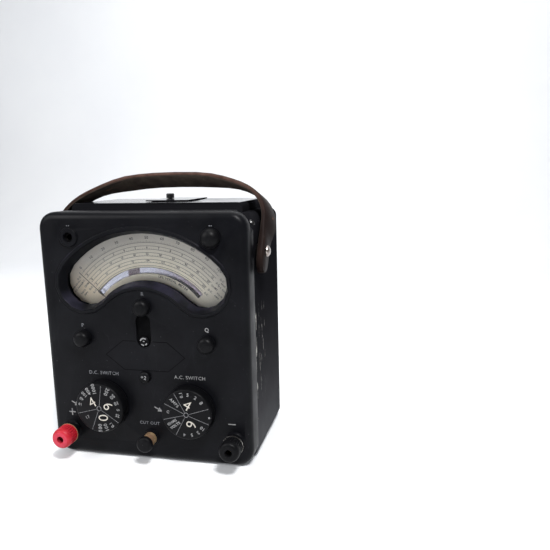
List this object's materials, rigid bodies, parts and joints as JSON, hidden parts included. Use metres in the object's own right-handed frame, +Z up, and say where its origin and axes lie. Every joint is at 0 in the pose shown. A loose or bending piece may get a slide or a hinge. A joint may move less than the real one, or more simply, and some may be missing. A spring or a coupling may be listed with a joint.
{
  "type": "analog multimeter",
  "caption": "Portable black moulded analog multimeter with a curved scale window, two rotary range switches, trim knobs, screw terminals and a leather carrying strap.",
  "frame": {"origin": "middle of the bottom face the instrument stands on", "axes": "+Z up, the panel with the scale and switches faces -Y, +X to the right as the user reads the scale"},
  "size_m": [0.2022, 0.138, 0.2417],
  "materials": {
    "black_moulding": "satin moulded phenolic, worn",
    "case_black": "satin black, dusty and scuffed",
    "red_moulding": "satin",
    "window_glass": "clear",
    "scale_cream": "matt printed card on metal",
    "mirror_strip": "polished",
    "brass": "tarnished",
    "nickel": "worn nickel plate",
    "spring_steel": "plain",
    "magnet_steel": "ground and lacquered",
    "soft_iron": "plain",
    "copper_wire": "enamelled copper",
    "laminate_board": "laminate",
    "battery_card": "card sleeve",
    "brown_leather": "worn"
  },
  "bodies": {
    "case": {"front_panel": "black_moulding", "positive_terminal_collar": "black_moulding", "negative_terminal_collar": "black_moulding", "rear_case": "case_black", "window_glass": "window_glass", "scale_plate": "scale_cream", "scale_mirror": "mirror_strip", "glass_frame": "brass", "front_bridge": "brass", "rear_bridge": "brass", "cutout_bush": "brass", "positive_terminal_stud": "brass", "negative_terminal_stud": "brass", "socket_sleeve": "brass", "cap_nut_stud": "brass", "corner_screw_left": "nickel", "corner_screw_right": "nickel", "strap_stud_left": "nickel", "strap_stud_right": "nickel", "hairspring": "spring_steel", "magnet": "magnet_steel", "pole_piece_left": "soft_iron", "pole_piece_right": "soft_iron", "iron_core": "soft_iron", "transformer": "soft_iron", "rectifier": "copper_wire", "dc_switch_stator": "laminate_board", "ac_switch_stator": "laminate_board", "p_rheostat": "laminate_board", "q_rheostat": "laminate_board", "r_rheostat": "laminate_board", "cutout_trip_switch": "laminate_board", "resistor_board": "laminate_board", "battery_cell": "battery_card"},
    "strap": {"carrying_strap": "brown_leather"},
    "dc_switch": {"dc_range_dial": "black_moulding", "dc_switch_spindle": "brass"},
    "ac_switch": {"ac_range_dial": "black_moulding", "ac_switch_spindle": "brass"},
    "p_knob": {"p_trim_knob": "black_moulding"},
    "q_knob": {"q_trim_knob": "black_moulding"},
    "r_knob": {"r_trim_knob": "black_moulding"},
    "divide_key": {"divide_button": "black_moulding", "divide_spring": "spring_steel"},
    "cutout_key": {"cutout_button": "black_moulding", "cutout_spring": "spring_steel"},
    "positive_thread": {"positive_terminal_washer": "nickel"},
    "positive_head": {"positive_terminal_head": "red_moulding"},
    "negative_thread": {"negative_terminal_washer": "nickel"},
    "negative_head": {"negative_terminal_head": "black_moulding"},
    "cap": {"cap_nut": "black_moulding"},
    "zero_screw": {"zero_adjuster": "black_moulding"},
    "zero_arm": {"zero_lever": "brass"},
    "needle": {"pointer": "black_moulding", "moving_coil": "copper_wire"},
    "lid": {"battery_lid": "case_black"},
    "lid_thumb_screw": {"lid_screw": "nickel"}
  },
  "joints": [
    {"name": "strap_swing", "type": "hinge", "parent": "case", "child": "strap", "pos_m": [0, -0.0255, 0.1762], "axis": [1, 0, 0], "range_deg": [0, 31]},
    {"name": "dc_switch_turn", "type": "hinge", "parent": "case", "child": "dc_switch", "pos_m": [-0.0385, -0.0585, 0.0482], "axis": [0, 1, 0], "continuous": true},
    {"name": "ac_switch_turn", "type": "hinge", "parent": "case", "child": "ac_switch", "pos_m": [0.0385, -0.0585, 0.0482], "axis": [0, 1, 0], "continuous": true},
    {"name": "p_knob_turn", "type": "hinge", "parent": "case", "child": "p_knob", "pos_m": [-0.0541, -0.0585, 0.1054], "axis": [0, 1, 0], "range_deg": [-140, 140]},
    {"name": "q_knob_turn", "type": "hinge", "parent": "case", "child": "q_knob", "pos_m": [0.0549, -0.0585, 0.1048], "axis": [0, 1, 0], "range_deg": [-140, 140]},
    {"name": "r_knob_turn", "type": "hinge", "parent": "case", "child": "r_knob", "pos_m": [0.001, -0.0585, 0.1337], "axis": [0, 1, 0], "range_deg": [-140, 140]},
    {"name": "divide_press", "type": "slide", "parent": "case", "child": "divide_key", "axis": [0, 1, 0], "range_m": [0, 0.002], "stiffness_N_per_m": 300, "springref_m": -0.002},
    {"name": "cutout_press", "type": "slide", "parent": "case", "child": "cutout_key", "axis": [0, 1, 0], "range_m": [0, 0.0018], "stiffness_N_per_m": 300, "springref_m": -0.002},
    {"name": "positive_thread_out", "type": "slide", "parent": "case", "child": "positive_thread", "axis": [0, -1, 0], "range_m": [0, 0.0035]},
    {"name": "positive_head_turn", "type": "hinge", "parent": "positive_thread", "child": "positive_head", "pos_m": [-0.0716, -0.0585, 0.0216], "axis": [0, -1, 0], "range_deg": [0, 1803]},
    {"name": "negative_thread_out", "type": "slide", "parent": "case", "child": "negative_thread", "axis": [0, -1, 0], "range_m": [0, 0.0035]},
    {"name": "negative_head_turn", "type": "hinge", "parent": "negative_thread", "child": "negative_head", "pos_m": [0.0757, -0.0585, 0.0226], "axis": [0, -1, 0], "range_deg": [0, 1803]},
    {"name": "cap_nut_turn", "type": "hinge", "parent": "case", "child": "cap", "pos_m": [0.0612, -0.0585, 0.1905], "axis": [0, -1, 0], "range_deg": [0, 720]},
    {"name": "zero_adjuster_turn", "type": "hinge", "parent": "case", "child": "zero_screw", "pos_m": [0, -0.0585, 0.1044], "axis": [0, 1, 0], "range_deg": [-20, 20]},
    {"name": "zero_lever_turn", "type": "hinge", "parent": "case", "child": "zero_arm", "pos_m": [0, -0.0585, 0.1025], "axis": [0, 1, 0], "range_deg": [-11.4, 11.4]},
    {"name": "needle_swing", "type": "hinge", "parent": "case", "child": "needle", "pos_m": [0, -0.0585, 0.1025], "axis": [0, 1, 0], "range_deg": [0, 95], "stiffness_Nm_per_rad": 0.0005},
    {"name": "battery_lid_lift", "type": "slide", "parent": "case", "child": "lid", "axis": [0, 0, 1], "range_m": [0, 0.006]},
    {"name": "lid_screw_turn", "type": "hinge", "parent": "lid", "child": "lid_thumb_screw", "pos_m": [-0.007, 0.0295, 0.2175], "axis": [0, 0, 1], "continuous": true}
  ],
  "couplings": [
    {"joint": "positive_head_turn", "follows": "positive_thread_out", "rad_per_m": 8976},
    {"joint": "negative_head_turn", "follows": "negative_thread_out", "rad_per_m": 8976},
    {"joint": "zero_lever_turn", "follows": "zero_adjuster_turn", "ratio": 0.57}
  ]
}
